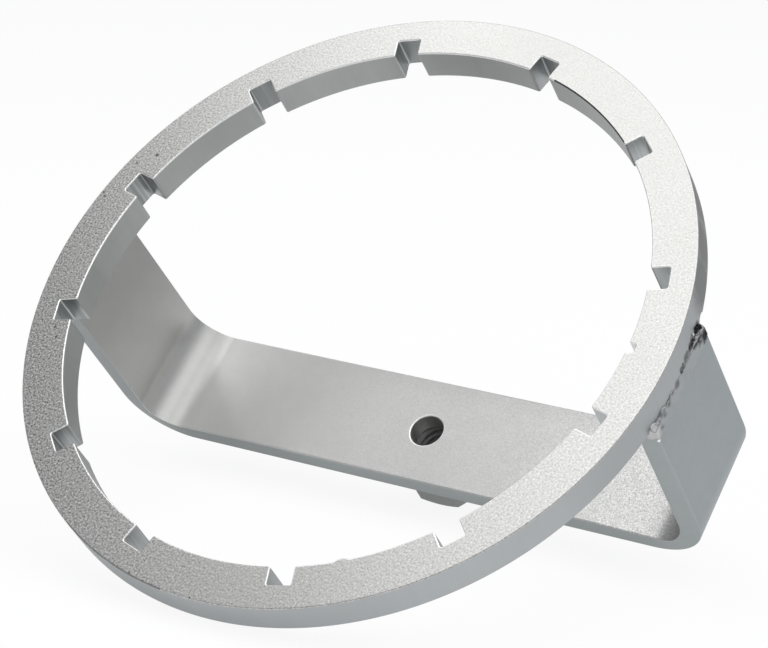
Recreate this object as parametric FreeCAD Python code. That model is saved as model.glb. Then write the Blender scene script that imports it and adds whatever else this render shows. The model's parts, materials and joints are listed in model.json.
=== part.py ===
import FreeCAD, Part
import math
import os

# A lock ring wrench for fuel pump covers: a notched plate ring, a bent flat bar
# that bridges it, a thick hex nut on the bar and the welds that join the three.
# Every size is in millimetres. Each piece is modelled with the ring's axis along
# Z, its working face at Z = 0 and the bar along X, and is then laid as the
# wrench lies on a bench: on the ring's rim and on the edge of the nut.

# Ring, 6 in across, cut from 5/16 in plate
ring_outer_r = 76.2
ring_band = 9.75
ring_thickness = 7.9375

# Notches in the ring's inner edge
notch_count = 12
notch_width = 5.44
notch_depth = 4.25
notch_corner_r = 0.5
notch_mouth_r = 0.4

# Nick that the cutting left in the ring's inner edge, near the right leg
nick_width = 2.2
nick_depth = 1.65
nick_corner_r = 0.6
nick_angle = -0.4

# Bar, bent from 3/16 in flat stock, which thins a little at the middle of a bend
bar_thickness = 4.7625
bar_width = 26.2
bar_height = 58.4
bend_inner_r = 9.0
bend_thinning = 0.4
leg_lean = 1.0

# Hole of 5/16 in near the middle of the bar, drilled a little to the left
centre_hole_d = 7.9375
centre_hole_shift = 1.1

# Thick hex nut for a 7/16-14 thread, 11/16 in across flats and 17/32 in high
nut_flats = 17.4625
nut_height = 13.49375
nut_face_inset = 0.44
nut_chamfer_angle = 30.0
thread_major_d = 11.1125
thread_pitch = 1.8143
countersink_angle = 45.0

# Welds along the feet of the bar: a bead in a bevel, with a lump where it wraps
# the corner of the leg, and a burnt hollow at the end where the arc stopped
foot_bevel = 2.2
bead_crown = 0.3
lump_r = 2.3
lump_proud = 0.5
lump_rise = 0.6
burn_r = 2.3
burn_depth = 0.3
burn_past_leg = 2.1
burn_rise = 0.95
droplet_r = 1.3
droplet_inset = 2.1

# Fillet weld round the nut
nut_weld_leg = 2.6

# How far a cutting solid runs past what it cuts, and how near an edge lies to
# the place that it is looked up at
overrun = 1.0
edge_slack = 0.01

# Worked out from the sizes above
ring_tip_r = ring_outer_r - ring_band
notch_pitch = 360.0 / notch_count
bend_outer_r = bend_inner_r + bar_thickness + bend_thinning / (math.sqrt(2) - 1)
lean = math.radians(leg_lean)
nut_flat_r = nut_flats / 2
nut_corner_r = nut_flat_r / math.cos(math.pi / 6)
nut_face_r = nut_flat_r - nut_face_inset
nut_chamfer_slope = math.tan(math.radians(nut_chamfer_angle))
nut_top = bar_height + nut_height
thread_minor_d = thread_major_d - 1.0825 * thread_pitch
bead_r = ((foot_bevel / 2) ** 2 + bead_crown ** 2) / (2 * bead_crown)
bead_x = ring_outer_r + bead_crown - bead_r
bead_z = ring_thickness + foot_bevel / 2


def vec(x, y, z):
    return FreeCAD.Vector(x, y, z)


def turned(shape, degrees):
    """Copy of a shape, turned about the ring's axis."""
    copy = shape.copy()
    copy.rotate(vec(0, 0, 0), vec(0, 0, 1), degrees)
    return copy


def hexagon(flat_r, z):
    """Face of a hexagon that has two of its flats along the bar."""
    corner_r = flat_r / math.cos(math.pi / 6)
    angles = [math.radians(60 * side) for side in range(7)]
    return Part.Face(Part.makePolygon(
        [vec(corner_r * math.cos(a), corner_r * math.sin(a), z) for a in angles]))


# Lock ring

def slot_cutter(width, depth, corner_r):
    """Slot along +X into the ring's inner edge, with rounded corners at its floor."""
    start = ring_tip_r - 2 * overrun
    slot = Part.makeBox(
        ring_tip_r + depth - start, width, ring_thickness + 2 * overrun,
        vec(start, -width / 2, -overrun))
    floor_corners = [edge for edge in slot.Edges
                     if edge.BoundBox.ZLength > ring_thickness
                     and edge.BoundBox.Center.x > ring_tip_r]
    return slot.makeFillet(corner_r, floor_corners)


def is_mouth_edge(edge):
    """True for the upright edges where a notch opens into the ring's hole."""
    box = edge.BoundBox
    upright = box.ZLength > ring_thickness - edge_slack and max(box.XLength, box.YLength) < edge_slack
    return upright and abs(math.hypot(box.Center.x, box.Center.y) - ring_tip_r) < edge_slack


def notched_ring():
    """Plate ring with its notches spaced evenly, none of them under a leg."""
    plate = Part.makeCylinder(ring_outer_r, ring_thickness)
    plate = plate.cut(Part.makeCylinder(ring_tip_r, ring_thickness))
    slot = slot_cutter(notch_width, notch_depth, notch_corner_r)
    slots = [turned(slot, notch_pitch * (index + 0.5)) for index in range(notch_count)]
    plate = plate.cut(Part.makeCompound(slots))
    plate = plate.makeFillet(notch_mouth_r, [edge for edge in plate.Edges if is_mouth_edge(edge)])
    return plate.cut(turned(slot_cutter(nick_width, nick_depth, nick_corner_r), nick_angle))


# Bridge bar

def half_section(side):
    """Edges of one half of the bent bar's section, and the ends of its web."""

    def bend(radius, depth):
        """Start, middle and end of an arc whose centre lies that deep in from both outer faces."""
        centre_z = bar_height - depth
        run_in = depth + (centre_z - ring_thickness) * math.sin(lean)
        centre_x = ring_outer_r - run_in / math.cos(lean)
        points = []
        for angle in (lean, (lean + math.pi / 2) / 2, math.pi / 2):
            points.append(vec(side * (centre_x + radius * math.cos(angle)), 0,
                              centre_z + radius * math.sin(angle)))
        return points

    def foot(inset, rise):
        return vec(side * (ring_outer_r - inset), 0, ring_thickness + rise)

    outer = bend(bend_outer_r, bend_outer_r)
    inner = bend(bend_inner_r, bar_thickness + bend_inner_r)
    bevel_top = foot(foot_bevel * math.tan(lean), foot_bevel)
    bevel_root = foot(foot_bevel, 0)
    inner_foot = foot(bar_thickness / math.cos(lean), 0)
    edges = [
        Part.Arc(*outer).toShape(),
        Part.makeLine(outer[0], bevel_top),
        Part.makeLine(bevel_top, bevel_root),
        Part.makeLine(bevel_root, inner_foot),
        Part.makeLine(inner_foot, inner[0]),
        Part.Arc(*inner).toShape(),
    ]
    return edges, outer[2], inner[2]


def bent_bar():
    """U of flat stock, with its bevelled feet on the ring's back face."""
    right_edges, right_outer, right_inner = half_section(1)
    left_edges, left_outer, left_inner = half_section(-1)
    web_edges = [Part.makeLine(right_outer, left_outer), Part.makeLine(right_inner, left_inner)]
    section = Part.Face(Part.Wire(Part.__sortEdges__(right_edges + left_edges + web_edges)))
    section.translate(vec(0, -bar_width / 2, 0))
    bar = section.extrude(vec(0, bar_width, 0))
    hole_length = bar_thickness + 2 * overrun
    hole = Part.makeCylinder(
        centre_hole_d / 2, hole_length,
        vec(-centre_hole_shift, 0, bar_height + overrun - hole_length))
    return bar.cut(hole)


# Drive nut

def hex_nut():
    """Thick nut, chamfered on its free face and flat on the bar."""
    blank = hexagon(nut_flat_r, bar_height).extrude(vec(0, 0, nut_height))
    cone_r = nut_corner_r + overrun
    cone_drop = (cone_r - nut_face_r) * nut_chamfer_slope
    cone_z = nut_top - cone_drop
    barrel = Part.makeCylinder(cone_r, nut_height, vec(0, 0, cone_z - nut_height))
    nut = blank.common(barrel.fuse(Part.makeCone(cone_r, nut_face_r, cone_drop, vec(0, 0, cone_z))))

    thread_r = thread_minor_d / 2
    sink_r = thread_major_d / 2
    sink_depth = (sink_r - thread_r) / math.tan(math.radians(countersink_angle))
    thread = Part.makeCylinder(thread_r, nut_height, vec(0, 0, bar_height))
    lower_sink = Part.makeCone(sink_r, thread_r, sink_depth, vec(0, 0, bar_height))
    upper_sink = Part.makeCone(thread_r, sink_r, sink_depth, vec(0, 0, nut_top - sink_depth))
    return nut.cut([thread, lower_sink, upper_sink])


# Welds

def burn():
    """Hollow past the -Y end of the right leg's seam, in the ring and the leg's corner."""
    centre = vec(ring_outer_r - burn_depth, -bar_width / 2 - burn_past_leg,
                 ring_thickness + burn_rise)
    return Part.makeSphere(burn_r, centre)


def lump(side):
    """Rounded end of a bead that wraps the corner of the leg."""
    centre = vec(ring_outer_r + bead_crown - lump_r,
                 side * (bar_width / 2 + lump_proud - lump_r), bead_z + lump_rise)
    return Part.makeSphere(lump_r, centre)


def leg_bead(ring, bar, wrapped_sides):
    """Weld bead in the bevel of the +X foot, outside the ring and the bar."""
    bead = Part.makeCylinder(bead_r, bar_width, vec(bead_x, -bar_width / 2, bead_z), vec(0, 1, 0))
    bead = bead.fuse([lump(side) for side in wrapped_sides])
    if len(wrapped_sides) == 1:
        bead = bead.cut(burn())
        bead = bead.fuse(Part.makeSphere(
            droplet_r, vec(ring_outer_r - droplet_r + bead_crown, droplet_inset - bar_width / 2, bead_z)))
    groove = Part.makeBox(
        foot_bevel + overrun, 2 * bar_width, 4 * foot_bevel,
        vec(ring_outer_r - foot_bevel, -bar_width, ring_thickness - foot_bevel))
    return bead.common(groove).cut([ring, bar]).removeSplitter()


def nut_bead():
    """Fillet weld round the foot of the nut, rounded at the nut's corners."""
    weld_top = bar_height + nut_weld_leg
    sides = Part.makeLoft(
        [hexagon(nut_flat_r + nut_weld_leg, bar_height).OuterWire,
         hexagon(nut_flat_r, weld_top).OuterWire], True)
    rounding = Part.makeCone(
        nut_corner_r + nut_weld_leg, nut_corner_r, nut_weld_leg, vec(0, 0, bar_height))
    core = hexagon(nut_flat_r, bar_height).extrude(vec(0, 0, nut_height))
    return sides.common(rounding).cut(core)


# How the wrench lies: the back edge of the ring's rim and the middle of one
# edge of the nut's free face touch the bench, so the ring slopes between them.

nut_edge_z = nut_top - nut_face_inset * nut_chamfer_slope
slope = math.atan2(nut_edge_z - ring_thickness, ring_outer_r - nut_flat_r)
lift = ring_outer_r * math.sin(slope) + ring_thickness * math.cos(slope)
setback = ring_thickness * math.sin(slope) / 2
resting = FreeCAD.Placement(
    vec(0, -setback, lift), FreeCAD.Rotation(vec(1, 0, 0), 180 + math.degrees(slope)))

full_ring = notched_ring()
full_bar = bent_bar()
left_bead = leg_bead(turned(full_ring, 180), turned(full_bar, 180), (-1, 1))
burnt_ring = full_ring.cut(burn())
burnt_bar = full_bar.cut(burn())

pieces = {
    "lock_ring": burnt_ring,
    "bridge_bar": burnt_bar,
    "drive_nut": hex_nut(),
    "right_leg_weld": leg_bead(burnt_ring, burnt_bar, (1,)),
    "left_leg_weld": turned(left_bead, 180),
    "nut_weld": nut_bead(),
}

os.makedirs("parts", exist_ok=True)
for name, shape in pieces.items():
    shape.Placement = resting.multiply(shape.Placement)
    shape.exportStep("parts/" + name + ".step")
    print(name, len(shape.Solids), "solid,", round(shape.Volume, 1), "mm3, valid", shape.isValid())
print("slope", round(math.degrees(slope), 3), "lift", round(lift, 4), "setback", round(setback, 4))
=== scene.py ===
import bmesh
import bpy
import json
import math
from mathutils import Matrix, Vector


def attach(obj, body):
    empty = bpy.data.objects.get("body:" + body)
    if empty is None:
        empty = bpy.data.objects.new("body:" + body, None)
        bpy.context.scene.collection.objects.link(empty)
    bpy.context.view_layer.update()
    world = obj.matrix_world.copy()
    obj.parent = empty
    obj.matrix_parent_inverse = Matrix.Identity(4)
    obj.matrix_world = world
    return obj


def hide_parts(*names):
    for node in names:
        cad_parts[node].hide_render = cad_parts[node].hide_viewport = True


# Fuel pump lock ring wrench: notched plate ring, bent flat bar, hex nut and the welds.
# Each piece is modelled with the ring's axis along Z and its working face at Z = 0,
# then laid down as the CAD nodes lie. Lengths are in metres.

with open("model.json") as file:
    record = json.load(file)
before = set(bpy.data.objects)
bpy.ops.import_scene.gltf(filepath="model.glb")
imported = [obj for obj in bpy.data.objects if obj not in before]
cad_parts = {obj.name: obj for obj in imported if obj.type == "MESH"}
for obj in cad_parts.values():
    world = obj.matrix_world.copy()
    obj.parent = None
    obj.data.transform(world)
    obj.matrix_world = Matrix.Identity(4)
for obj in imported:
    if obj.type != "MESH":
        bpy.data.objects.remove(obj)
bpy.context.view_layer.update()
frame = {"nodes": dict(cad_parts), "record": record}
print("frame loaded:", ", ".join(sorted(frame["nodes"])))

mountList = {mount["name"]: mount for mount in frame["record"]["mounts"]}
faceDirection = Vector(mountList["ring_socket"]["axis"])    # out of the working face
slope = math.atan2(-faceDirection.y, faceDirection.z)

# shared by more than one piece
stock = {
    "plate": 0.0079375,         # ring's thickness
    "bar": 0.0047625,           # bar's thickness
    "outerRadius": 0.0762,
    "band": 0.00975,
    "barWidth": 0.0262,
    "barHeight": 0.0584,        # from the working face to the back of the web
    "benchTurn": math.pi + slope,
}
faceCentre = Vector(mountList["ring_socket"]["pos_m"]) + faceDirection * stock["plate"] / 2
layDown = Matrix.Translation(faceCentre) @ Matrix.Rotation(stock["benchTurn"], 4, "X")


# Small helpers for working in edit mode

def useOnly(piece):
    if bpy.context.object and bpy.context.object.mode == "EDIT":
        bpy.ops.object.mode_set(mode="OBJECT")
    bpy.ops.object.select_all(action="DESELECT")
    piece.select_set(True)
    bpy.context.view_layer.objects.active = piece


def startEdit(piece):
    useOnly(piece)
    bpy.ops.object.mode_set(mode="EDIT")


def endEdit():
    bpy.ops.object.mode_set(mode="OBJECT")


def pick(piece, kind, test):    # kind is VERT, EDGE or FACE, test gets the bmesh element
    bpy.ops.mesh.select_mode(type=kind)
    bpy.ops.mesh.select_all(action="DESELECT")
    mesh = bmesh.from_edit_mesh(piece.data)
    things = {"VERT": mesh.verts, "EDGE": mesh.edges, "FACE": mesh.faces}[kind]
    found = [thing for thing in things if test(thing)]
    for thing in found:
        thing.select_set(True)
    bmesh.update_edit_mesh(piece.data)
    return len(found)


def middle(edge):
    return (edge.verts[0].co + edge.verts[1].co) / 2


def direction(edge):
    return (edge.verts[1].co - edge.verts[0].co).normalized()


def centre(face):
    return face.calc_center_median()


def placeInMesh(piece):    # moves the object's place into its mesh
    useOnly(piece)
    bpy.ops.object.transform_apply(location=True, rotation=True, scale=True)


def applyModifier(piece, kind, **settings):
    useOnly(piece)
    modifier = piece.modifiers.new(kind.lower(), kind)
    for key, value in settings.items():
        setattr(modifier, key, value)
    bpy.ops.object.modifier_apply(modifier=modifier.name)


def combine(piece, tool, operation="DIFFERENCE"):    # and the cut faces keep the tool's finish
    applyModifier(piece, "BOOLEAN", operation=operation, solver="EXACT", object=tool,
                  material_mode="TRANSFER")
    bpy.data.objects.remove(tool)


def joinPieces(pieces):
    useOnly(pieces[0])
    for piece in pieces[1:]:
        piece.select_set(True)
    bpy.ops.object.join()
    return pieces[0]


def turnedCopy(piece, angle):    # its own mesh, turned about the ring's axis
    copy = piece.copy()
    copy.data = piece.data.copy()
    bpy.context.collection.objects.link(copy)
    copy.rotation_euler.z = angle
    return copy


def mergeFlats(piece, tests):    # one face for each test that faces lying in one plane pass
    startEdit(piece)
    bpy.ops.mesh.select_all(action="SELECT")
    bpy.ops.mesh.remove_doubles(threshold=0.000005)
    for test in tests:
        if pick(piece, "FACE", test) > 1:
            bpy.ops.mesh.dissolve_faces(use_verts=True)
    endEdit()


def closeSlits(piece):    # that a boolean can leave
    startEdit(piece)
    bpy.ops.mesh.select_mode(type="EDGE")
    bpy.ops.mesh.select_all(action="SELECT")
    bpy.ops.mesh.dissolve_degenerate(threshold=0.000001)
    bpy.ops.mesh.select_all(action="DESELECT")
    bpy.ops.mesh.select_non_manifold()
    bpy.ops.mesh.fill_holes(sides=6)
    endEdit()


def finishPiece(piece, name, node, smoothAngle=32):
    piece.name = name
    piece.data.name = name
    piece.matrix_world = layDown
    placeInMesh(piece)
    bpy.ops.object.shade_smooth_by_angle(angle=math.radians(smoothAngle))
    applyModifier(piece, "WEIGHTED_NORMAL", keep_sharp=True, weight=80)
    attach(piece, "root")
    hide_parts(node)
    print(name, len(piece.data.polygons), "faces")


# Finishes. Each reads its pattern in the wrench's own frame, so it keeps to the piece

def addNode(tree, kind, inputs, **settings):    # gives the output of a new node, its inputs linked or set
    node = tree.nodes.new(kind)
    for key, value in settings.items():
        setattr(node, key, value)
    for key, value in inputs.items():
        if isinstance(value, bpy.types.NodeSocket):
            tree.links.new(value, node.inputs[key])
        else:
            node.inputs[key].default_value = value
    return node.outputs[0]


def mathNode(tree, first, operation, second):    # one Math node
    return addNode(tree, "ShaderNodeMath", {0: first, 1: second}, operation=operation)


def benchPlace(tree):    # where a point lies in the wrench's own frame, ring axis along Z
    place = tree.nodes.new("ShaderNodeTexCoord").outputs["Object"]
    toBench = layDown.inverted()
    return addNode(tree, "ShaderNodeMapping", {
        0: place, "Location": toBench.to_translation(), "Rotation": toBench.to_euler()})


def along(tree, place, axis, start, end, low, high):    # rises or falls along one axis
    parts = tree.nodes.new("ShaderNodeSeparateXYZ")
    tree.links.new(place, parts.inputs[0])
    return addNode(tree, "ShaderNodeMapRange", {
        "Value": parts.outputs[axis], "From Min": start, "From Max": end, "To Min": low, "To Max": high})


def shadeAlong(tree, place, way, stops):    # way is a direction, stops give places along it and shades
    run = tree.nodes.new("ShaderNodeVectorMath")
    run.operation = "DOT_PRODUCT"
    tree.links.new(place, run.inputs[0])
    run.inputs[1].default_value = way
    first, last = stops[0][0], stops[-1][0]
    share = addNode(tree, "ShaderNodeMapRange", {
        "Value": run.outputs["Value"], "From Min": first, "From Max": last, "To Min": 0.0, "To Max": 1.0})
    ramp = tree.nodes.new("ShaderNodeValToRGB")
    tree.links.new(share, ramp.inputs[0])
    marks = ramp.color_ramp.elements
    for mark, (_, shade) in zip(marks, (stops[0], stops[-1])):
        mark.color = (shade, shade, shade, 1)
    for at, shade in stops[1:-1]:
        mark = marks.new((at - first) / (last - first))
        mark.color = (shade, shade, shade, 1)
    return ramp.outputs[0]


grainRough = 0.6    # of every grain's noise
# the noise that frays a spot's edge, and the share of its radius within which it is full
spotEdge = {"scale": 900, "detail": 3, "full": 0.45}


def grainOf(tree, place, grain):    # noise about zero
    if "stretch" in grain:
        place = addNode(tree, "ShaderNodeMapping", {0: place, "Scale": grain["stretch"]})
    noise = addNode(tree, "ShaderNodeTexNoise", {
        "Vector": place, "Scale": grain["scale"], "Detail": grain.get("detail", 2), "Roughness": grainRough})
    centred = mathNode(tree, noise, "SUBTRACT", 0.5)
    for fade in grain.get("fades", ()):
        centred = mathNode(tree, centred, "MULTIPLY", along(tree, place, *fade))
    return centred


def spotMask(tree, place, spots, ragged):    # 1 inside the spots, with ragged edges
    noise = addNode(tree, "ShaderNodeTexNoise", {
        "Vector": place, "Scale": spotEdge["scale"], "Detail": spotEdge["detail"]})
    wave = mathNode(tree, mathNode(tree, noise, "SUBTRACT", 0.5), "MULTIPLY", ragged)
    mask = 0.0
    for middleOfSpot, radius in spots:
        away = tree.nodes.new("ShaderNodeVectorMath")
        away.operation = "DISTANCE"
        tree.links.new(place, away.inputs[0])
        away.inputs[1].default_value = middleOfSpot
        inside = addNode(tree, "ShaderNodeMapRange", {
            "Value": mathNode(tree, wave, "ADD", away.outputs["Value"]),
            "From Min": radius, "From Max": spotEdge["full"] * radius, "To Min": 0.0, "To Max": 1.0})
        mask = mathNode(tree, inside, "MAXIMUM", mask)
    return mask


def mixColour(tree, share, first, second):
    mix = tree.nodes.new("ShaderNodeMix")
    mix.data_type = "RGBA"
    tree.links.new(share, mix.inputs[0])
    for socket, colour in ((mix.inputs[6], first), (mix.inputs[7], second)):
        if isinstance(colour, bpy.types.NodeSocket):
            tree.links.new(colour, socket)
        else:
            socket.default_value = (*colour, 1)
    return mix.outputs[2]


def steelFinish(name, look):    # built up from grains, and then marks over them
    material = bpy.data.materials.new(name)
    material.use_nodes = True
    tree = material.node_tree
    shader = tree.nodes["Principled BSDF"]
    shader.inputs["Metallic"].default_value = 1.0
    place = benchPlace(tree)
    shade, height = 1.0, 0.0
    for grain in look["grains"]:
        noise = grainOf(tree, place, grain)
        shade = mathNode(tree, mathNode(tree, noise, "MULTIPLY", grain["tone"]), "ADD", shade)
        height = mathNode(tree, mathNode(tree, noise, "MULTIPLY", grain["lift"]), "ADD", height)
    if "bow" in look:    # a flat that starts to curve before the bend, and goes on curving in it
        start, end, rise = look["bow"]
        share = along(tree, place, "X", start, start + 3 * (end - start), 0.0, 3.0)
        bowed = mathNode(tree, mathNode(tree, share, "MULTIPLY", share), "MULTIPLY", rise / look["bump"])
        height = mathNode(tree, height, "ADD", bowed)
    colour = addNode(tree, "ShaderNodeVectorMath", {0: look["colour"], "Scale": shade}, operation="SCALE")
    for way, stops in look.get("shades", ()):
        colour = addNode(tree, "ShaderNodeVectorMath", {0: colour, 1: shadeAlong(tree, place, way, stops)},
                         operation="MULTIPLY")
    spread = look.get("roughSpread", 0.04)
    rough = addNode(tree, "ShaderNodeMapRange", {
        "Value": shade, "From Min": 0.8, "From Max": 1.2,
        "To Min": look["roughness"] + spread, "To Max": look["roughness"] - spread})
    for mark in look.get("marks", ()):
        mask = spotMask(tree, place, mark["spots"], mark["ragged"])
        colour = mixColour(tree, mask, colour, mark["colour"])
        rough = addNode(tree, "ShaderNodeMix", {0: mask, 2: rough, 3: mark["roughness"]})
    tree.links.new(colour, shader.inputs["Base Color"])
    tree.links.new(rough, shader.inputs["Roughness"])
    bump = addNode(tree, "ShaderNodeBump", {"Height": height, "Distance": look["bump"]})
    tree.links.new(bump, shader.inputs["Normal"])
    return material


# scorched metal round the burnt hollow and the pits, as places and radii
scorch = (
    ((0.0759, -0.0121, 0.0093), 0.0022), ((0.0757, -0.0104, 0.0078), 0.0022),
    ((0.0758, -0.0083, 0.0068), 0.0017), ((0.0752, -0.0120, 0.0068), 0.0018),
    ((0.0759, -0.0068, 0.0062), 0.0011),
)
pits = (    # along the seam and up it
    (-0.0072, 0.0064), (-0.0052, 0.0060), (-0.0043, 0.0062), (-0.0024, 0.0065), (-0.0014, 0.0066),
    (0.0015, 0.0073), (0.0037, 0.0070), (0.0060, 0.0077), (0.0084, 0.0080), (0.0104, 0.0077),
    (0.0107, 0.0093),
)
pitPlaces = [(math.sqrt(stock["outerRadius"] ** 2 - y ** 2), y, z) for y, z in pits]
pitMarks = [(place, 0.0010 + 0.0003 * math.sin(4 * index)) for index, place in enumerate(pitPlaces)]
rimDarkStretch = [    # the rim's darker stretch above the right leg
    ((0.0732, -0.0212, 0.0040), 0.0085), ((0.0700, -0.0301, 0.0035), 0.0085),
    ((0.0650, -0.0398, 0.0030), 0.0085), ((0.0590, -0.0482, 0.0030), 0.0080),
]
lump = [((0.0754, 0.0132, 0.0086), 0.0025)]
glint = [((0.0760, 0.0130, 0.0109), 0.0005)]
dropGlint = [((0.0757, -0.0094, 0.0056), 0.0010)]
faceSpecks = (
    ((-0.0733, -0.0130, 0), 0.00045), ((-0.0080, 0.0757, 0), 0.0004), ((-0.0659, -0.0264, 0), 0.0006),
    ((-0.0741, -0.0140, 0), 0.0004), ((-0.0644, 0.0250, 0), 0.00045), ((-0.0661, 0.0226, 0), 0.0004),
    ((-0.0699, -0.0233, 0), 0.0003), ((-0.0155, 0.0742, 0), 0.0004), ((-0.0115, 0.0750, 0), 0.0003),
    ((0.0008, 0.0759, 0), 0.00025), ((-0.0190, 0.0735, 0), 0.0003), ((-0.0091, 0.0755, 0), 0.00035),
)
soot = (0.012, 0.012, 0.013)
scorchMark = {"spots": scorch, "ragged": 0.0016, "colour": soot, "roughness": 0.5}
# dark marks at the pits, also where no hollow is cut: partly burnt metal, partly painted shade of the hollows
sootShadePitMark = {"spots": pitMarks, "ragged": 0.0010, "colour": (0.17, 0.175, 0.18), "roughness": 0.45}
# darkens the rim's stretch above the right leg
rimDarkMark = {"spots": rimDarkStretch, "ragged": 0.004, "colour": (0.205, 0.207, 0.21), "roughness": 0.45}
speckMark = {"spots": faceSpecks, "ragged": 0.0004, "colour": (0.14, 0.14, 0.14), "roughness": 0.5}
lumpMark = {"spots": lump, "ragged": 0.0008, "colour": (0.50, 0.495, 0.495), "roughness": 0.3}
# painted highlight on the small droplet in the burnt hollow
dropGlintMark = {"spots": dropGlint, "ragged": 0.0002, "colour": (0.5, 0.5, 0.5), "roughness": 0.4}
# painted highlight: a small near-white glint on the leg's corner by the lump
glintMark = {"spots": glint, "ragged": 0.0002, "colour": (0.97, 0.97, 0.96), "roughness": 0.3}
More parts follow.
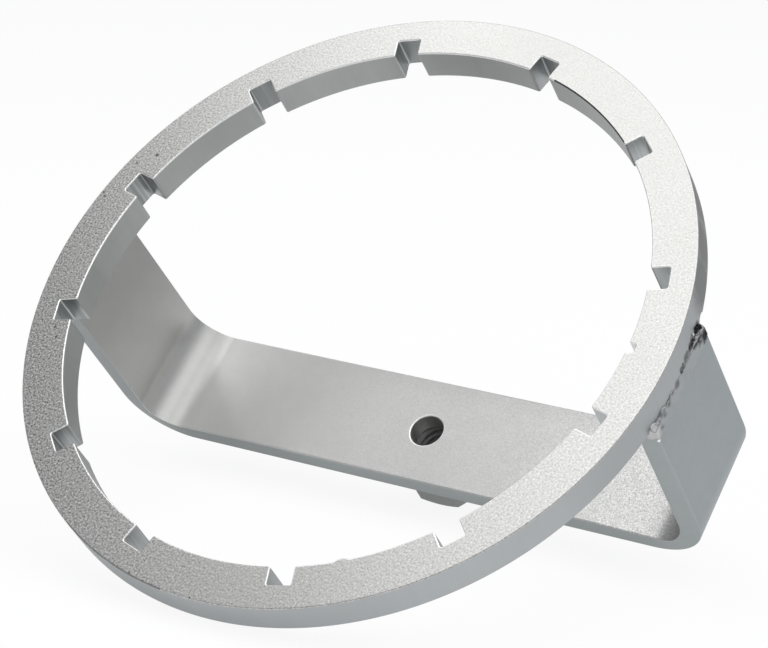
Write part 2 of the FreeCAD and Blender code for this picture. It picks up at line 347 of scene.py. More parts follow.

# Scales are per metre, tone is how much a grain shades, and lift how much it stands up.
# A fade changes a grain's strength along an axis, and shades paint light and shade into the colour along a
# direction.
looks = {
    "ringFace": {
        "colour": (0.52, 0.517, 0.502), "roughness": 0.32, "roughSpread": 0.0, "bump": 0.000018,
        "grains": (
            {"scale": 2200, "detail": 3, "tone": 4.8, "lift": 1.0,
             "fades": (("X", -0.078, 0.01, 0.8, 0.24), ("Y", -0.075, 0.075, 0.5, 1.5))},
            {"scale": 420, "detail": 3, "tone": 0.10, "lift": 0.6},
            {"scale": 45, "tone": 0.05, "lift": 0.0},
        ),
        # painted light and shade: lighter near the middle, darker towards both sides
        "shades": (
            ((1, 0, 0), (
                (-0.076, 0.93), (-0.05, 0.97), (-0.01, 1.03), (0.02, 0.97), (0.05, 0.955), (0.076, 0.955))),
        ),
        "marks": (speckMark,),
    },
    "ringWall": {
        "colour": (0.42, 0.441, 0.45), "roughness": 0.42, "bump": 0.000003,
        "grains": (
            {"scale": 500, "stretch": (1, 1, 0.03), "tone": 0.05, "lift": 0.6},
            {"scale": 60, "tone": 0.08, "lift": 0.2},
        ),
        # painted light and shade: lighter across the middle, darker at the left and the far right
        "shades": (
            ((1, 0, 0), (
                (-0.03, 0.93), (0.0, 1.15), (0.046, 1.16), (0.066, 1.05), (0.072, 0.9), (0.0762, 0.9))),
        ),
        "marks": (rimDarkMark, sootShadePitMark, scorchMark),
    },
    "ringBore": {
        "colour": (0.42, 0.434, 0.428), "roughness": 0.42, "bump": 0.000003,
        "grains": (
            {"scale": 500, "stretch": (1, 1, 0.03), "tone": 0.08, "lift": 0.6},
            {"scale": 120, "detail": 3, "tone": 0.12, "lift": 0.2},
        ),
        # painted light and shade along this slanting direction: darker at both ends, lighter between
        "shades": (
            ((0.64, -0.77, 0), (
                (-0.062, 0.86), (-0.047, 0.72), (-0.020, 1.05), (0.018, 1.28), (0.030, 1.2), (0.051, 0.75))),
        ),
    },
    "notchWall": {
        "colour": (0.38, 0.395, 0.395), "roughness": 0.38, "bump": 0.0001,
        "grains": (
            {"scale": 1300, "detail": 3, "stretch": (1, 1, 0.02), "tone": 1.2, "lift": 1.0,
             "fades": (("X", -0.06, 0.0, 1.0, 0.3),)},    # cutting marks, plainer to the right
            {"scale": 420, "stretch": (1, 1, 0.03), "tone": 0.7, "lift": 1.0,
             "fades": (("X", -0.06, 0.0, 1.0, 0.4),)},
        ),
        # painted light: the walls lighter towards the right
        "shades": (((1, 0, 0), ((-0.07, 1.0), (0.02, 1.0), (0.05, 1.3), (0.07, 1.33))),),
    },
    # painted highlight: a near-white finish for the front's rounded edges, the nick's walls and the hole's
    # front rim
    "highlightEdge": {
        "colour": (0.88, 0.88, 0.87), "roughness": 0.5, "bump": 0.000002,
        "grains": ({"scale": 900, "tone": 0.10, "lift": 1.0},),
    },
    # painted dark reflection along the upper half of the inner front edge
    "darkEdge": {
        "colour": (0.09, 0.09, 0.09), "roughness": 0.5, "bump": 0.000002,
        "grains": ({"scale": 900, "tone": 0.3, "lift": 1.0},),
    },
    # painted shadow line along the lower half of the outer front edge
    "shadowEdge": {
        "colour": (0.27, 0.27, 0.27), "roughness": 0.45, "bump": 0.000002,
        "grains": ({"scale": 900, "tone": 1.2, "lift": 1.0},),
    },
    "barInside": {
        "colour": (0.48, 0.48, 0.47), "roughness": 0.4, "roughSpread": 0.03, "bump": 0.00004,
        "bow": (-0.036, -0.0612, 0.0006),
        "grains": (
            {"scale": 3200, "tone": 1.4, "lift": 0.85, "fades": (("X", 0.010, 0.052, 0.06, 1.0),)},
            {"scale": 2400, "tone": 0.40, "lift": 0.2, "fades": (("X", -0.036, -0.010, 0.0, 1.0),)},
            {"scale": 300, "detail": 3, "tone": 0.08, "lift": 0.4},
            {"scale": 40, "tone": 0.08, "lift": 0.0},
        ),
        # painted light and shade: a lit band and a dark band across the left bend, lighter along the web, and
        # a slanting ramp
        "shades": (
            ((1, 0, 0), (
                (-0.0712, 0.87), (-0.0706, 1.25), (-0.0700, 1.3), (-0.0682, 1.0), (-0.0662, 0.79),
                (-0.0635, 1.16), (-0.0600, 1.24), (-0.054, 1.19), (-0.048, 1.15), (-0.030, 1.21),
                (0.003, 1.03), (0.022, 1.0), (0.057, 1.14), (0.066, 0.95))),
            ((0, 3.44, 2.5), ((0.020, 0.74), (0.045, 0.76), (0.080, 0.88), (0.105, 0.97))),
        ),
        "marks": (scorchMark, sootShadePitMark),
    },
    # painted shade: a darker copy of the bar's steel for its outer faces
    "barOutside": {
        "colour": (0.315, 0.342, 0.355), "roughness": 0.42, "bump": 0.00001,
        "grains": (
            {"scale": 400, "detail": 3, "tone": 0.08, "lift": 0.6},
            {"scale": 60, "tone": 0.10, "lift": 0.3},
        ),
        "marks": (scorchMark, sootShadePitMark, glintMark),
    },
    # painted shade: a darker copy of the bar's steel for its narrow sides, darker still towards the left end
    "barSide": {
        "colour": (0.37, 0.40, 0.405), "roughness": 0.42, "bump": 0.000004,
        "grains": (
            {"scale": 350, "detail": 3, "stretch": (0.2, 1, 1), "tone": 0.08, "lift": 0.6},
            {"scale": 60, "tone": 0.07, "lift": 0.2},
        ),
        "shades": (((1, 0, 0), ((-0.075, 0.77), (-0.05, 0.78), (-0.015, 0.98), (0.075, 1.0))),),
        "marks": (glintMark,),
    },
    # painted highlight: the outer corners' roundings lighter than the outer faces
    "barCornerHighlight": {
        "colour": (0.375, 0.40, 0.41), "roughness": 0.42, "bump": 0.00001,
        "grains": ({"scale": 60, "tone": 0.10, "lift": 0.3},),
        "marks": (scorchMark, glintMark),
    },
    "holeWall": {
        "colour": (0.55, 0.55, 0.54), "roughness": 0.5, "bump": 0.00001,
        "grains": ({"scale": 700, "detail": 3, "tone": 0.3, "lift": 1.0},),
    },
    # painted shade: the thread inside the nut's bore, darker than the nut
    "shadedThread": {
        "colour": (0.17, 0.17, 0.167), "roughness": 0.5, "bump": 0.00001,
        "grains": ({"scale": 700, "detail": 3, "tone": 0.6, "lift": 1.0},),
    },
    "nutSteel": {
        "colour": (0.335, 0.35, 0.345), "roughness": 0.42, "bump": 0.000006,
        "grains": (
            {"scale": 600, "detail": 3, "stretch": (1, 1, 0.25), "tone": 0.12, "lift": 0.8},
            {"scale": 110, "tone": 0.10, "lift": 0.5},
        ),
    },
    "weldSteel": {
        "colour": (0.35, 0.37, 0.38), "roughness": 0.45, "bump": 0.00002,
        "grains": (
            {"scale": 500, "detail": 3, "tone": 0.25, "lift": 0.8},
            {"scale": 120, "tone": 0.30, "lift": 0.5},
        ),
        "marks": (scorchMark, sootShadePitMark, lumpMark, glintMark),
    },
    # painted shade on the bead's low underside
    "shadedUnderside": {
        "colour": (0.27, 0.275, 0.28), "roughness": 0.5, "bump": 0.00002,
        "grains": ({"scale": 900, "detail": 3, "tone": 0.9, "lift": 1.0},),
    },
    # the pits' walls: partly burnt metal, partly painted shade in the hollows
    "pitSootAndShade": {
        "colour": (0.18, 0.185, 0.19), "roughness": 0.5, "bump": 0.00002,
        "grains": ({"scale": 1500, "detail": 3, "tone": 0.5, "lift": 1.0},),
    },
    "burntSteel": {
        "colour": soot, "roughness": 0.42, "bump": 0.00004,
        "grains": ({"scale": 1500, "detail": 4, "tone": 0.8, "lift": 1.0},),
        "shades": (((0, 1, 0), ((-0.0115, 1.0), (-0.0092, 4.0))),),
    },
    "droplet": {
        "colour": (0.15, 0.15, 0.15), "roughness": 0.4, "bump": 0.000006,
        "grains": ({"scale": 900, "tone": 1.0, "lift": 1.0},),
        "marks": (dropGlintMark,),
    },
}
finish = {name: steelFinish(name, look) for name, look in looks.items()}
print("finishes made:", ", ".join(finish))


def paint(piece, names, choose=None):    # choose gets a face's centre and normal, and gives one of the names
    piece.data.materials.clear()
    for name in names:
        piece.data.materials.append(finish[name])
    for face in piece.data.polygons:
        face.material_index = names.index(choose(face.center, face.normal)) if choose else 0


# Lock ring

lockRing = {
    "segments": 360,
    "notches": 12,
    "notchWidth": 0.00544,
    "notchDepth": 0.00425,
    "notchCorner": 0.0005,
    "notchMouth": 0.0004,
    "nickWidth": 0.0022,
    "nickDepth": 0.00165,
    "nickCorner": 0.0006,
    "nickAngle": -0.4,          # degrees from the bar's right end
    "splitAngle": 6.0,
    "nibWidth": 0.0034,
    "nibHeight": 0.00055,
    "nibAngle": 64.1,
    "edgeRound": 0.0003,
    "overrun": 0.001,
}
ringEdges = {    # where the front's edges get a painted shadow line, a painted dark reflection or a painted highlight
    "flat": 0.985,              # from this share of a normal along Z a face is flat
    "front": -0.12,             # and below this it belongs to the front's roundings
    "steep": -0.9,
    "rimDepth": 0.001,
    "shadowLine": (-0.036, -0.006),   # painted shadow line: outer edge, lower half
    "dark": (0.0215, 0.0447),   # painted dark reflection: inner edge, upper half
    # from this x rightwards the front's steepest rounding also gets the painted edge finishes, not the face's
    "highlightFrom": 0.02,
    "mouthDepth": 0.0005,
}
tipRadius = stock["outerRadius"] - stock["band"]


def slotCutter(width, depth, corner):
    start = tipRadius - 3 * lockRing["overrun"]
    end = tipRadius + depth
    bpy.ops.mesh.primitive_cube_add(
        size=1, location=((start + end) / 2, 0, stock["plate"] / 2),
        scale=(end - start, width, stock["plate"] + 2 * lockRing["overrun"]))
    cutter = bpy.context.object
    placeInMesh(cutter)
    startEdit(cutter)
    pick(cutter, "EDGE", lambda e: abs(direction(e).z) > 0.9 and middle(e).x > tipRadius)
    bpy.ops.mesh.bevel(offset=corner, segments=6, affect="EDGES")
    endEdit()
    return cutter


def sectorTest(index, side):    # faces of one twelfth of the front or back, split clear of the notches
    pitch = 360 / lockRing["notches"]

    def test(face):
        spot = centre(face)
        turn = (math.degrees(math.atan2(spot.y, spot.x)) + lockRing["splitAngle"]) % 360
        return face.normal.z * side > 0.99 and int(turn / pitch) == index
    return test


def buildRing():
    plate = stock["plate"]
    bpy.ops.mesh.primitive_cylinder_add(
        vertices=lockRing["segments"], radius=stock["outerRadius"], depth=plate,
        location=(0, 0, plate / 2))
    ring = bpy.context.object
    placeInMesh(ring)
    startEdit(ring)
    pick(ring, "FACE", lambda f: abs(f.normal.z) > 0.9)
    bpy.ops.mesh.inset(thickness=stock["band"])
    bpy.ops.mesh.bridge_edge_loops()
    endEdit()

    firstSlot = slotCutter(lockRing["notchWidth"], lockRing["notchDepth"], lockRing["notchCorner"])
    pitch = 2 * math.pi / lockRing["notches"]
    slots = [turnedCopy(firstSlot, pitch * (index + 0.5)) for index in range(lockRing["notches"])]
    bpy.data.objects.remove(firstSlot)
    combine(ring, joinPieces(slots))
    startEdit(ring)
    pick(ring, "EDGE", lambda e: abs(direction(e).z) > 0.99
         and len(e.link_faces) == 2 and e.calc_face_angle() > 0.5
         and abs(middle(e).xy.length - tipRadius) < 0.0001)
    bpy.ops.mesh.bevel(offset=lockRing["notchMouth"], segments=3, affect="EDGES")
    endEdit()

    nick = slotCutter(lockRing["nickWidth"], lockRing["nickDepth"], lockRing["nickCorner"])
    nick.rotation_euler.z = math.radians(lockRing["nickAngle"])
    combine(ring, nick)

    half, height = lockRing["nibWidth"] / 2, lockRing["nibHeight"]
    nibRadius = (half ** 2 + height ** 2) / (2 * height)
    bpy.ops.mesh.primitive_cylinder_add(
        vertices=96, radius=nibRadius, depth=plate,
        location=(tipRadius - height + nibRadius, 0, plate / 2))
    nib = bpy.context.object
    placeInMesh(nib)
    nib.rotation_euler.z = math.radians(lockRing["nibAngle"])
    combine(ring, nib, "UNION")

    mergeFlats(ring, [sectorTest(index, side) for index in range(lockRing["notches"]) for side in (1, -1)])
    applyModifier(ring, "BEVEL", width=lockRing["edgeRound"], segments=3,
                  limit_method="ANGLE", angle_limit=math.radians(40), use_clamp_overlap=False)
    return ring


# Bridge bar

bridgeBar = {
    "bendInner": 0.009,
    "thinning": 0.0004,         # at the middle of a bend
    "lean": math.radians(1.0),
    "bendSteps": 32,
    "footBevel": 0.0022,
    "hole": 0.0079375,
    "holeShift": 0.0011,
    "edgeRound": 0.00032,
    "swellLeg": 0.00055,        # how far the inner edge stands out on the side of the bench
    "swellBend": 0.00045,
    "swellWeb": 0.0003,
    "swellEnd": 0.046,          # and where along the web it ends
    "swellOther": 0.15,         # share on the other side
}
barEdges = {    # shares of a normal along an axis
    "holeRim": 0.0005,          # and how far the hole's own faces reach round it
    "flat": 0.99,
    "front": -0.12,
    "side": 0.8,
    "corner": 0.15,
}
bendOuter = bridgeBar["bendInner"] + stock["bar"] + bridgeBar["thinning"] / (math.sqrt(2) - 1)
bendSpun = bendOuter - stock["bar"]    # inner radius as spun, before it is shaped


def bendCentre(depth):    # x and z of a bend's centre that lies this deep in from both outer faces
    z = stock["barHeight"] - depth
    runIn = depth + (z - stock["plate"]) * math.sin(bridgeBar["lean"])
    return stock["outerRadius"] - runIn / math.cos(bridgeBar["lean"]), z


bendX, bendZ = bendCentre(bendOuter)


def shapeInside(bar):    # tightens the inside of the bends, and swells the inner edges
    innerX, innerZ = bendCentre(stock["bar"] + bridgeBar["bendInner"])
    slack = 0.00002
    for vert in bar.data.vertices:
        side = 1 if vert.co.x > 0 else -1
        across, up = vert.co.x * side - bendX, vert.co.z - bendZ
        turn = math.atan2(up, across)
        onArc = abs(math.hypot(across, up) - bendSpun) < slack and -slack < across and -slack < up
        inFoot = up < -slack and across < bendSpun + slack
        if onArc:
            vert.co.x = side * (innerX + bridgeBar["bendInner"] * math.cos(turn))
            vert.co.z = innerZ + bridgeBar["bendInner"] * math.sin(turn)
            share = turn / (math.pi / 2)
            swell = bridgeBar["swellLeg"] * (1 - share) + bridgeBar["swellWeb"] * share
            swell += bridgeBar["swellBend"] * math.sin(2 * turn)
        elif inFoot:
            swell = bridgeBar["swellLeg"]
        else:
            continue
        vert.co.y += swell if vert.co.y > 0 else -swell * bridgeBar["swellOther"]


def buildBar():
    thickness, width, plate = stock["bar"], stock["barWidth"], stock["plate"]
    webMiddle = stock["barHeight"] - thickness / 2
    bpy.ops.mesh.primitive_cube_add(
        size=1, location=(0, 0, webMiddle), scale=(2 * bendX, width, thickness))
    bar = bpy.context.object
    placeInMesh(bar)
    legLength = bendZ - plate + 2 * thickness
    for side in (1, -1):
        startEdit(bar)
        pick(bar, "FACE", lambda f: f.normal.x * side > 0.9 and centre(f).x * side > 0.99 * bendX)
        bpy.ops.mesh.spin(
            steps=bridgeBar["bendSteps"], angle=-side * (math.pi / 2 - bridgeBar["lean"]),
            center=(side * bendX, 0, bendZ), axis=(0, 1, 0))
        downLeg = Vector((side * math.sin(bridgeBar["lean"]), 0, -math.cos(bridgeBar["lean"])))
        bpy.ops.mesh.extrude_region_move(
            TRANSFORM_OT_translate={"value": downLeg * legLength})
        endEdit()
    startEdit(bar)
    for side in (1, -1):
        bpy.ops.mesh.select_all(action="SELECT")
        bpy.ops.mesh.bisect(plane_co=(side * bridgeBar["swellEnd"], 0, 0), plane_no=(1, 0, 0))
    endEdit()
    shapeInside(bar)
    startEdit(bar)
    bpy.ops.mesh.select_all(action="SELECT")
    bpy.ops.mesh.bisect(plane_co=(0, 0, plate), plane_no=(0, 0, 1), use_fill=True, clear_inner=True)
    pick(bar, "EDGE", lambda e: abs(direction(e).y) > 0.99 and middle(e).z < plate + 0.0001
         and abs(middle(e).x) > stock["outerRadius"] - thickness / 2)
    bpy.ops.mesh.bevel(offset=bridgeBar["footBevel"], segments=1, affect="EDGES")
    endEdit()
    bpy.ops.mesh.primitive_cylinder_add(
        vertices=96, radius=bridgeBar["hole"] / 2, depth=3 * thickness,
        location=(-bridgeBar["holeShift"], 0, webMiddle))
    drill = bpy.context.object
    placeInMesh(drill)
    combine(bar, drill)
    mergeFlats(bar, [])
    applyModifier(bar, "BEVEL", width=bridgeBar["edgeRound"], segments=3,
                  limit_method="ANGLE", angle_limit=math.radians(40), use_clamp_overlap=False)
    return bar


# Drive nut

driveNut = {
    "flats": 0.0174625,
    "height": 0.01349375,
    "faceInset": 0.00044,
    "chamfer": math.radians(30),
    "threadMajor": 0.0111125,
    "pitch": 0.0018143,
    "threadDepth": 0.54127,     # in pitches
    "threadSteps": 48,
    "sinkExtra": 0.0002,
}
threadProfile = ((0, 0), (0, 0.2), (1, 0.55), (1, 0.65), (0, 1))    # shares of the depth and of the pitch


def threadedRod():    # cuts the thread: one turn of its profile, screwed up past both faces
    pitch = driveNut["pitch"]
    major = driveNut["threadMajor"] / 2
    depth = driveNut["threadDepth"] * pitch
    turns = math.ceil(driveNut["height"] / pitch) + 4
    low = stock["barHeight"] - 2 * pitch
    bpy.ops.mesh.primitive_plane_add(size=1, location=(0, 0, 0))
    rod = bpy.context.object
    startEdit(rod)
    bpy.ops.mesh.delete(type="ONLY_FACE")
    endEdit()
    mesh = bmesh.new()
    points = [
        mesh.verts.new((major - (1 - out) * depth, 0, low + rise * pitch)) for out, rise in threadProfile]
    for first, second in zip(points, points[1:]):
        mesh.edges.new((first, second))
    mesh.to_mesh(rod.data)
    mesh.free()
    applyModifier(rod, "SCREW", angle=2 * math.pi, screw_offset=pitch, iterations=turns, axis="Z",
                  steps=driveNut["threadSteps"], render_steps=driveNut["threadSteps"],
                  use_merge_vertices=False, use_smooth_shade=False)
    startEdit(rod)
    bpy.ops.mesh.select_all(action="SELECT")
    bpy.ops.mesh.remove_doubles(threshold=0.000002)
    top = stock["barHeight"] + driveNut["height"]
    for height, side in ((stock["barHeight"] - 0.4 * pitch, 1), (top + 0.4 * pitch, -1)):
        bpy.ops.mesh.select_all(action="SELECT")
        bpy.ops.mesh.bisect(plane_co=(0, 0, height), plane_no=(0, 0, side), use_fill=True, clear_inner=True)
    bpy.ops.mesh.select_all(action="SELECT")
    bpy.ops.mesh.normals_make_consistent(inside=False)
    endEdit()
    return rod


def buildNut():
    bottom = stock["barHeight"]
    height = driveNut["height"]
    flatRadius = driveNut["flats"] / 2
    cornerRadius = flatRadius / math.cos(math.pi / 6)
    bpy.ops.mesh.primitive_cylinder_add(
        vertices=6, radius=cornerRadius, depth=height, location=(0, 0, bottom + height / 2),
        rotation=(0, 0, math.pi / 6))
    nut = bpy.context.object
    placeInMesh(nut)
    faceRadius = flatRadius - driveNut["faceInset"]
    bpy.ops.mesh.primitive_cone_add(
        vertices=256, radius1=faceRadius + height / math.tan(driveNut["chamfer"]), radius2=faceRadius,
        depth=height, location=(0, 0, bottom + height / 2))
    blank = bpy.context.object
    placeInMesh(blank)
    combine(nut, blank, "INTERSECT")
    sinkSize = driveNut["threadMajor"] / 2 + driveNut["sinkExtra"]    # its radius and its depth
    for end, flip in ((bottom, 0), (bottom + height, math.pi)):
        bpy.ops.mesh.primitive_cone_add(
            vertices=128, radius1=sinkSize, radius2=0, depth=sinkSize, rotation=(flip, 0, 0),
            location=(0, 0, end + (1 if flip == 0 else -1) * sinkSize / 2))
        sink = bpy.context.object
        placeInMesh(sink)
        combine(nut, sink)
    combine(nut, threadedRod())
    mergeFlats(nut, [])
    closeSlits(nut)
    return nut


# Welds

legWeld = {
    "rise": 0.0011,             # middle of the groove, up from the ring's back
    "proud": 0.00005,           # the bead is ground off this far outside the leg and the rim
    "toe": 0.0026,              # half of how far down the rim it may reach
    "fillet": 0.0012,           # slope between the rim and the leg
    "pools": 13,
    "rimPool": (0.0020, 0.0019, 0.0021),
    "rimPoolIn": 0.0004,        # how far its middle lies inside the rim
    "rimPoolWander": 0.0003,
    "legPool": (0.0016, 0.0019, 0.0014),
    "legPoolIn": 0.0010,
    "legPoolRise": 0.0016,
    "legBlock": 0.010,          # how much of the leg the wheel leaves alone
    "lump": 0.0023,
    "lumpRise": 0.0006,
    "lumpProud": 0.0005,
    "lumpOut": 0.0002,
    "voxel": 0.00012,
    "underTurn": -0.25,         # its underside, painted in shade: how far it faces down, how high and long it is
    "underRise": 0.0008,
    "underEnd": 0.0014,
    "pitSize": (0.00026, 0.00055, 0.00075),
    "pitOut": 0.0001,
    "pitsCut": 5,               # the others only show as dark marks, burnt metal and painted shade
}
burn = {
    "place": (0.0759, -0.0152, 0.0089),
    "radius": 0.0023,
    "rough": 0.0003,
    "grain": 0.0010,
    "slag": (
        ((0.0751, -0.0122, 0.0074), 0.0009), ((0.0753, -0.0112, 0.0064), 0.0007),
        ((0.0752, -0.0092, 0.0077), 0.0008), ((0.0753, -0.0079, 0.0067), 0.0008),
        ((0.0755, -0.0065, 0.0065), 0.0006), ((0.0754, -0.0126, 0.0095), 0.0009),
        ((0.0755, -0.0113, 0.0108), 0.0007),
    ),
    "slagRough": 0.0005,
    "droplets": (
        ((0.0750, -0.0105, 0.0082), 0.0014),
        ((0.0757, -0.0094, 0.0056), 0.00035),
    ),
}


def addBall(place, size, segments=24):
    bpy.ops.mesh.primitive_uv_sphere_add(
        segments=segments, ring_count=segments // 2, radius=1, location=place, scale=size)
    ball = bpy.context.object
    placeInMesh(ball)
    return ball


def meltTogether(pieces, voxel, rounds=3):    # one skin round overlapping balls
    skin = joinPieces(pieces)
    applyModifier(skin, "REMESH", mode="VOXEL", voxel_size=voxel)
    applyModifier(skin, "SMOOTH", factor=0.5, iterations=rounds)
    return skin


def roughen(piece, size, strength, name):
    clouds = bpy.data.textures.new(name, "CLOUDS")
    clouds.noise_scale = size
    clouds.noise_depth = 3
    applyModifier(piece, "DISPLACE", texture=clouds, texture_coords="LOCAL", strength=strength, mid_level=0.5)


def burnCutter():
    bpy.ops.mesh.primitive_ico_sphere_add(subdivisions=5, radius=burn["radius"], location=burn["place"])
    cutter = bpy.context.object
    placeInMesh(cutter)
    roughen(cutter, burn["grain"], burn["rough"], "burnRough")
    paint(cutter, ["burntSteel"])
    return cutter


def pitCutter():
    balls = []
    for index, place in enumerate(pitPlaces[:legWeld["pitsCut"]]):
        size = [length * (1 + 0.3 * math.sin(5 * index)) for length in legWeld["pitSize"]]
        balls.append(addBall((place[0] + legWeld["pitOut"], place[1], place[2]), size, 16))
    cutter = meltTogether(balls, 0.6 * legWeld["voxel"], 1)
    paint(cutter, ["pitSootAndShade"])
    return cutter


def groundLimit():    # what the grinding wheel left: the rim's curve, a slope up from it, and the leg's face
    proud, plate, fillet = legWeld["proud"], stock["plate"], legWeld["fillet"]
    rimRadius = stock["outerRadius"] + proud
    bpy.ops.mesh.primitive_cylinder_add(
        vertices=720, radius=rimRadius, depth=2 * legWeld["toe"],
        location=(0, 0, plate - fillet / 2 - legWeld["toe"]))
    rim = bpy.context.object
    placeInMesh(rim)
    bpy.ops.mesh.primitive_cone_add(
        vertices=720, radius1=rimRadius, radius2=rimRadius + fillet, depth=fillet,
        location=(0, 0, plate - fillet / 2))
    slopeUp = bpy.context.object
    placeInMesh(slopeUp)
    combine(rim, slopeUp, "UNION")
    block = legWeld["legBlock"]
    bpy.ops.mesh.primitive_cube_add(
        size=1, location=(rimRadius - 0.4 * block, 0, plate + block / 2),
        scale=(block, stock["barWidth"], block))
    leg = bpy.context.object
    placeInMesh(leg)
    combine(rim, leg, "UNION")
    reach = 3 * stock["outerRadius"]
    bpy.ops.mesh.primitive_cube_add(size=reach, location=(rimRadius - reach / 2, 0, plate))
    wheel = bpy.context.object
    placeInMesh(wheel)
    combine(rim, wheel, "INTERSECT")
    return rim


def addBead():    # before grinding: overlapping pools along the seam
    half = stock["barWidth"] / 2
    pools = []
    for index in range(legWeld["pools"]):
        y = -half + 2 * half * (index + 0.5) / legWeld["pools"]
        rim = math.sqrt(stock["outerRadius"] ** 2 - y ** 2)
        drop = legWeld["rimPoolWander"] * math.sin(3 * index)
        rimPlace = (rim - legWeld["rimPoolIn"], y, stock["plate"] + legWeld["rise"] + drop)
        legPlace = (stock["outerRadius"] - legWeld["legPoolIn"], y, stock["plate"] + legWeld["legPoolRise"])
        pools.append(addBall(rimPlace, legWeld["rimPool"], 32))
        pools.append(addBall(legPlace, legWeld["legPool"], 32))
    return pools


# the bead's low, downward-facing underside gets the painted shade
def beadFinish(spot, normal):
    low = spot.z < stock["plate"] + legWeld["underRise"]
    short = spot.y < stock["barWidth"] / 2 - legWeld["underEnd"]
    return "shadedUnderside" if normal.z < legWeld["underTurn"] and low and short else "weldSteel"


def buildLegWeld(burnt):    # modelled at the right leg, and turned for the left one
    half = stock["barWidth"] / 2
    bead = meltTogether(addBead(), legWeld["voxel"], 4)
    combine(bead, groundLimit(), "INTERSECT")
    lumps = [bead]
    for end in ((1,) if burnt else (1, -1)):
        lumpY = end * (half + legWeld["lumpProud"] - legWeld["lump"])
        lumpX = stock["outerRadius"] + legWeld["lumpOut"] - legWeld["lump"]
        lumpZ = stock["plate"] + legWeld["rise"] + legWeld["lumpRise"]
        lumps.append(addBall((lumpX, lumpY, lumpZ), (legWeld["lump"],) * 3, 48))
    bead = meltTogether(lumps, legWeld["voxel"], 3)
    paint(bead, ["weldSteel", "shadedUnderside"], beadFinish)
    if not burnt:
        bead.rotation_euler.z = math.pi
        placeInMesh(bead)
        return bead
    combine(bead, burnCutter())
    combine(bead, pitCutter())
    slag = meltTogether([addBall(place, (size,) * 3) for place, size in burn["slag"]], legWeld["voxel"])
    roughen(slag, burn["grain"], burn["slagRough"], "slagRough")
    paint(slag, ["burntSteel"])
    drops = joinPieces([addBall(place, (size,) * 3) for place, size in burn["droplets"]])
    paint(drops, ["droplet"])
    return joinPieces([bead, slag, drops])


nutWeld = {
    "ripples": 54,
    "ball": 0.0017,
    "ballShape": (1.1, 0.75, 1.0),
    "roundShare": 0.45,         # how far it rounds off the hexagon that it follows
    "out": 0.0004,
    "wander": 0.00012,
    "sunk": 0.0003,             # how far it goes into the bar
    "voxel": 0.00016,
}


def buildNutWeld():    # ripples round the foot of the nut
    flatRadius = driveNut["flats"] / 2
    balls = []
    for index in range(nutWeld["ripples"]):
        turn = 2 * math.pi * index / nutWeld["ripples"]
        offset = (turn % (math.pi / 3)) - math.pi / 6
        share = nutWeld["roundShare"]
        reach = flatRadius / math.cos(offset) * (1 - share) + flatRadius / math.cos(math.pi / 6) * share
        wander = math.cos(7 * index) * nutWeld["wander"]
        place = Vector((math.cos(turn), math.sin(turn), 0)) * (reach + nutWeld["out"] + wander)
        place.z = stock["barHeight"] + nutWeld["out"]
        ball = addBall((0, 0, 0), [nutWeld["ball"] * length for length in nutWeld["ballShape"]], 20)
        ball.rotation_euler.z = turn
        placeInMesh(ball)
        ball.location = place
        placeInMesh(ball)
        balls.append(ball)
    bead = meltTogether(balls, nutWeld["voxel"], 2)
    size = 4 * flatRadius
    bpy.ops.mesh.primitive_cube_add(
        size=size, location=(0, 0, stock["barHeight"] - nutWeld["sunk"] - size / 2))
    underside = bpy.context.object
    placeInMesh(underside)
    combine(bead, underside)
    return bead


# Finishes laid on the faces, and the pieces put together

def ringFinish(spot, normal):
    inner = spot.xy.length < stock["outerRadius"] - ringEdges["rimDepth"]
    if abs(normal.z) > ringEdges["flat"]:
        return "ringFace"
    if normal.z < ringEdges["front"]:
        # outer front edge: the painted shadow line along its lower half, the face's finish elsewhere
        if not inner:
            shadowStart, shadowEnd = ringEdges["shadowLine"]
            return "shadowEdge" if shadowStart < spot.x < shadowEnd and spot.y > 0 else "ringFace"
        if normal.z < ringEdges["steep"] and spot.x < ringEdges["highlightFrom"]:
            return "ringFace"
        # inner front edge: the painted dark reflection in its upper right stretch, the painted highlight
        # elsewhere
        darkStart, darkEnd = ringEdges["dark"]
        return "darkEdge" if darkStart < spot.x < darkEnd and spot.y < 0 else "highlightEdge"
    if not inner:
        return "ringWall"
    # the nick's walls get the painted highlight
    if spot.x > 0 and abs(spot.y) < lockRing["nickWidth"]:
        return "highlightEdge"
    return "notchWall" if spot.xy.length > tipRadius + ringEdges["mouthDepth"] else "ringBore"


def barFinish(spot, normal):
    fromHole = math.hypot(spot.x + bridgeBar["holeShift"], spot.y)
    if fromHole < bridgeBar["hole"] / 2 + barEdges["holeRim"] and abs(normal.z) < barEdges["flat"]:
        # the hole's front rounding gets the painted highlight
        return "holeWall" if normal.z > barEdges["front"] else "highlightEdge"
    if abs(normal.y) > barEdges["side"]:
        return "barSide"
    inward = -normal.x if spot.x > 0 else normal.x
    if inward - normal.z > 0:
        return "barInside"
    return "barCornerHighlight" if abs(normal.y) > barEdges["corner"] else "barOutside"


ringPiece = buildRing()
paint(ringPiece, ["ringFace", "highlightEdge", "darkEdge", "shadowEdge", "notchWall", "ringBore", "ringWall"],
      ringFinish)
combine(ringPiece, burnCutter())
combine(ringPiece, pitCutter())
finishPiece(ringPiece, "ringPlate", "lock_ring")

barPiece = buildBar()
paint(barPiece, ["barInside", "barOutside", "barSide", "barCornerHighlight", "holeWall", "highlightEdge"], barFinish)
combine(barPiece, burnCutter())
finishPiece(barPiece, "bridge", "bridge_bar")

nutPiece = buildNut()
# the bore's thread is painted in shade
paint(nutPiece, ["nutSteel", "shadedThread"],
      lambda spot, normal: "shadedThread" if spot.xy.length < driveNut["threadMajor"] / 2 else "nutSteel")
finishPiece(nutPiece, "hexNut", "drive_nut")

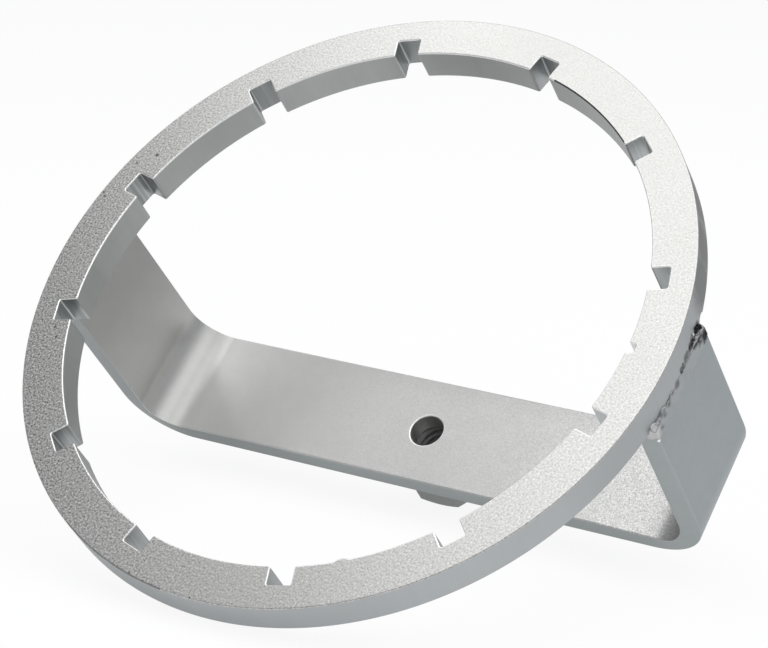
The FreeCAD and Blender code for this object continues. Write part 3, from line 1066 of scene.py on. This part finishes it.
finishPiece(buildLegWeld(True), "rightWeld", "right_leg_weld", 60)
finishPiece(buildLegWeld(False), "leftWeld", "left_leg_weld", 60)
nutBead = buildNutWeld()
paint(nutBead, ["weldSteel"])
finishPiece(nutBead, "nutBead", "nut_weld", 60)


# Studio

studio = {
    "floorSize": 8,
    "floorColour": (0.85, 0.85, 0.85, 1),
    "floorWhite": 0.9,          # how much of the floor is plain white to the camera
    "mirroredWhite": 0.5,       # and in reflections
    "roomColour": (0.95, 0.97, 1.0, 1),
    "roomStrength": 0.4,
    "keySize": (1.9, 1.7),
    "keyHeight": 0.9,
    "keyEdge": -0.62,           # where its near edge lies, along its own direction
    "keyAlong": -0.15,
    "keyTurn": math.radians(24.7),
    "keyRadiance": 1.52,
}

bpy.ops.mesh.primitive_plane_add(size=studio["floorSize"])
floor = bpy.context.object
floor.name = "floor"


def paintFloor():    # white to the camera, paler than its paint in reflections, and it keeps the shadow
    white = bpy.data.materials.new("floorPaint")
    white.use_nodes = True
    tree = white.node_tree
    shader = tree.nodes["Principled BSDF"]
    shader.inputs["Base Color"].default_value = studio["floorColour"]
    shader.inputs["Roughness"].default_value = 0.9
    path = tree.nodes.new("ShaderNodeLightPath").outputs
    mirrored = mathNode(tree, path["Is Glossy Ray"], "MAXIMUM", path["Is Transmission Ray"])
    direct = mathNode(tree, path["Is Camera Ray"], "MULTIPLY", studio["floorWhite"])
    share = mathNode(tree, direct, "MAXIMUM", mathNode(tree, mirrored, "MULTIPLY", studio["mirroredWhite"]))
    glow = tree.nodes.new("ShaderNodeEmission")
    mix = addNode(tree, "ShaderNodeMixShader", {0: share, 1: shader.outputs[0], 2: glow.outputs[0]})
    tree.links.new(mix, tree.nodes["Material Output"].inputs["Surface"])
    floor.data.materials.append(white)


def lightRoom():
    world = bpy.data.worlds.new("studio")
    bpy.context.scene.world = world
    world.use_nodes = True
    background = world.node_tree.nodes["Background"]
    background.inputs["Color"].default_value = studio["roomColour"]
    background.inputs["Strength"].default_value = studio["roomStrength"]


def addOverhead():    # one large softbox that faces straight down
    width, depth = studio["keySize"]
    turn = studio["keyTurn"]
    out, aside = studio["keyEdge"] + width / 2, studio["keyAlong"]
    place = (out * math.cos(turn) - aside * math.sin(turn), out * math.sin(turn) + aside * math.cos(turn),
             studio["keyHeight"])
    bpy.ops.object.light_add(type="AREA", location=place, rotation=(0, 0, turn))
    lamp = bpy.context.object
    lamp.name = "overhead"
    lamp.data.shape = "RECTANGLE"
    lamp.data.size, lamp.data.size_y = studio["keySize"]
    lamp.data.energy = math.pi * width * depth * studio["keyRadiance"]


paintFloor()
lightRoom()
addOverhead()

# camera, fitted to the photograph
camera = {
    "place": Vector((0.297132, -0.462518, 0.194069)),
    "aim": Vector((0.005934, 0.002642, 0.051501)),
    "roll": math.radians(2.451),
    "lens": 124.689,
    "sensor": 36.0,
}
cameraData = bpy.data.cameras.new("camera")
cameraObject = bpy.data.objects.new("camera", cameraData)
bpy.context.collection.objects.link(cameraObject)
cameraData.sensor_width = camera["sensor"]
cameraData.lens = camera["lens"]
cameraData.clip_start = 0.01
cameraData.clip_end = 50
aimTurn = (camera["aim"] - camera["place"]).to_track_quat("-Z", "Y").to_matrix().to_4x4()
cameraObject.matrix_world = (
    Matrix.Translation(camera["place"]) @ aimTurn @ Matrix.Rotation(camera["roll"], 4, "Z"))
bpy.context.scene.camera = cameraObject
bpy.context.scene.view_settings.view_transform = "Standard"
print("camera axes", [[round(v, 5) for v in row] for row in cameraObject.matrix_world.to_3x3().transposed()])
